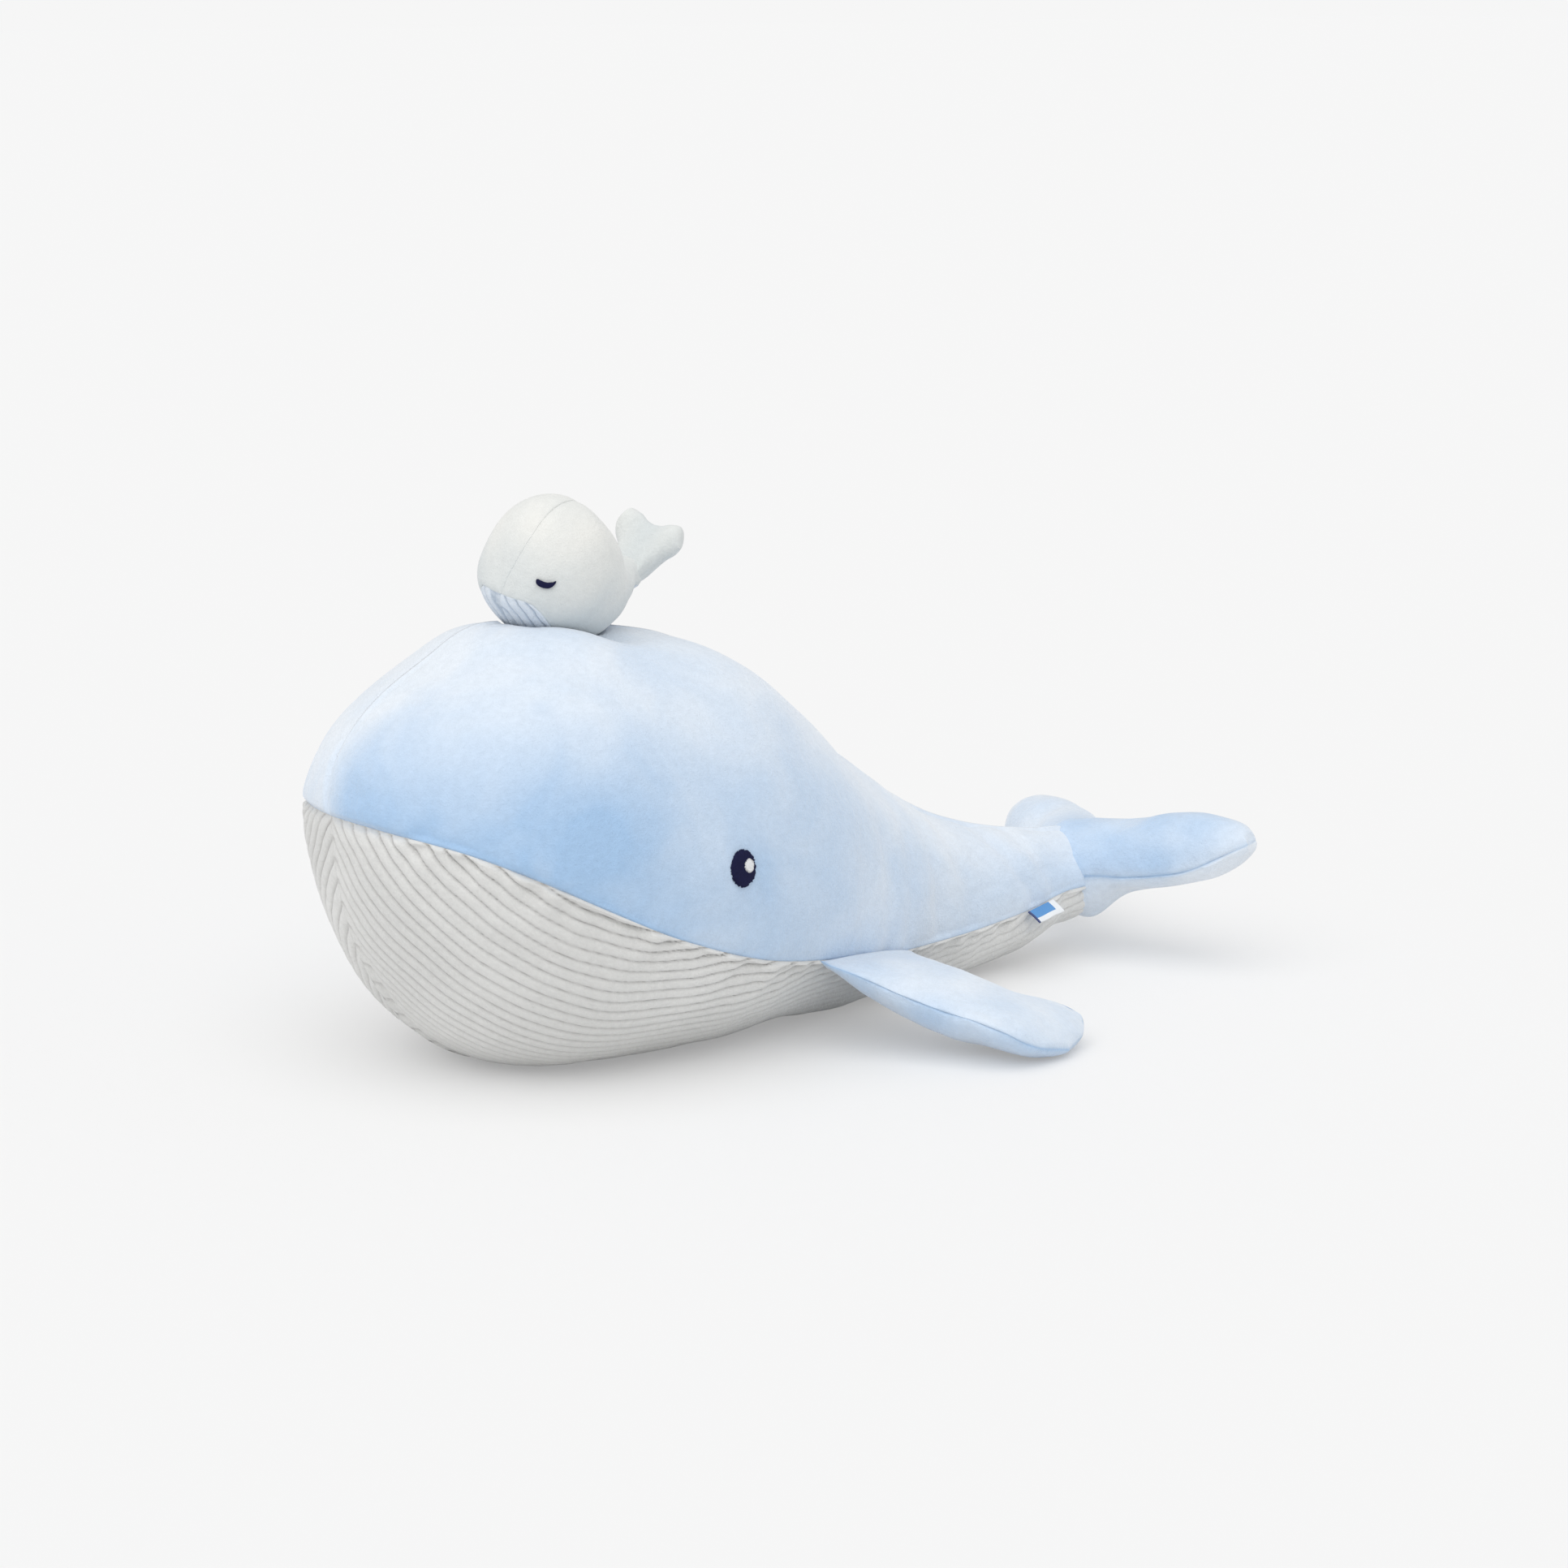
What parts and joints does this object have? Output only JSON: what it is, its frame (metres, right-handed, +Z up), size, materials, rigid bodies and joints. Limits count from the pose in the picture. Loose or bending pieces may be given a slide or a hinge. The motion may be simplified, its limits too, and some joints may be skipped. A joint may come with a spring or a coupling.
{
  "type": "plush whale",
  "caption": "Stuffed plush whale with a ribbed white belly, two side fins, a tail fluke and a small white calf sewn on its head.",
  "frame": {"origin": "on the floor, under the middle of the overall length and width", "axes": "+X from the nose towards the tail, +Z up, the whale's left side towards -Y"},
  "size_m": [0.5844, 0.3894, 0.3128],
  "materials": {
    "blue_minky": "short-pile minky plush, pale blue, matt with a soft sheen",
    "ribbed_plush": "ribbed short-pile plush, warm white, matt",
    "white_minky": "short-pile minky plush, off-white, matt with a soft sheen",
    "polyester_filling": "loose polyester fibre, white",
    "navy_thread": "satin-stitched embroidery thread, dark navy",
    "white_thread": "sewing and embroidery thread, white",
    "woven_label": "flat satin weave, mid blue with a white border, no text"
  },
  "bodies": {
    "whale": {"crown_panel_left": "blue_minky", "crown_panel_right": "blue_minky", "belly_panel_left": "ribbed_plush", "belly_panel_right": "ribbed_plush", "body_filling": "polyester_filling", "eye_left": "navy_thread", "eye_left_highlight": "white_thread", "eye_right": "navy_thread", "eye_right_highlight": "white_thread"},
    "fin_left": {"fin_left_top_panel": "blue_minky", "fin_left_bottom_panel": "blue_minky", "fin_left_filling": "polyester_filling"},
    "fin_right": {"fin_right_top_panel": "blue_minky", "fin_right_bottom_panel": "blue_minky", "fin_right_filling": "polyester_filling"},
    "fluke": {"fluke_top_panel": "blue_minky", "fluke_bottom_panel": "blue_minky", "fluke_filling": "polyester_filling"},
    "label": {"woven_label": "woven_label"},
    "calf_stitch": {"calf_knot": "white_thread"},
    "calf": {"calf_crown_panel_left": "white_minky", "calf_crown_panel_right": "white_minky", "calf_belly_panel_left": "ribbed_plush", "calf_belly_panel_right": "ribbed_plush", "calf_body_filling": "polyester_filling", "calf_eye_left": "navy_thread", "calf_eye_right": "navy_thread"},
    "calf_tail": {"calf_tail_front_panel": "white_minky", "calf_tail_rear_panel": "white_minky", "calf_tail_filling": "polyester_filling"}
  },
  "joints": [
    {"name": "fin_left_flap", "type": "hinge", "parent": "whale", "child": "fin_left", "pos_m": [0.00631, -0.09059, 0.04453], "axis": [-0.9363, -0.3247, 0.1338], "range_deg": [-30, 45], "stiffness_Nm_per_rad": 0.6},
    {"name": "fin_right_flap", "type": "hinge", "parent": "whale", "child": "fin_right", "pos_m": [0.00631, 0.09059, 0.04453], "axis": [0.9363, -0.3247, -0.1338], "range_deg": [-30, 45], "stiffness_Nm_per_rad": 0.6},
    {"name": "fluke_bend", "type": "hinge", "parent": "whale", "child": "fluke", "pos_m": [0.20823, 0, 0.0505], "axis": [0, -0.9945, 0.1045], "range_deg": [-20, 18], "stiffness_Nm_per_rad": 1},
    {"name": "label_flap", "type": "hinge", "parent": "whale", "child": "label", "pos_m": [0.16823, -0.04155, 0.04174], "axis": [-0.9612, -0.2527, -0.1103], "range_deg": [-20, 50], "stiffness_Nm_per_rad": 0.002},
    {"name": "calf_sway", "type": "hinge", "parent": "whale", "child": "calf_stitch", "pos_m": [-0.14125, 0.013, 0.23837], "axis": [0.9237, 0.3532, -0.1485], "range_deg": [-6, 6], "stiffness_Nm_per_rad": 0.5},
    {"name": "calf_rock", "type": "hinge", "parent": "calf_stitch", "child": "calf", "pos_m": [-0.14125, 0.013, 0.23837], "axis": [0.3192, -0.9237, -0.212], "range_deg": [-6, 6], "stiffness_Nm_per_rad": 0.5},
    {"name": "calf_tail_bend", "type": "hinge", "parent": "calf", "child": "calf_tail", "pos_m": [-0.07721, 0.03846, 0.25953], "axis": [0.3192, -0.9237, -0.212], "range_deg": [-20, 8], "stiffness_Nm_per_rad": 0.05}
  ]
}
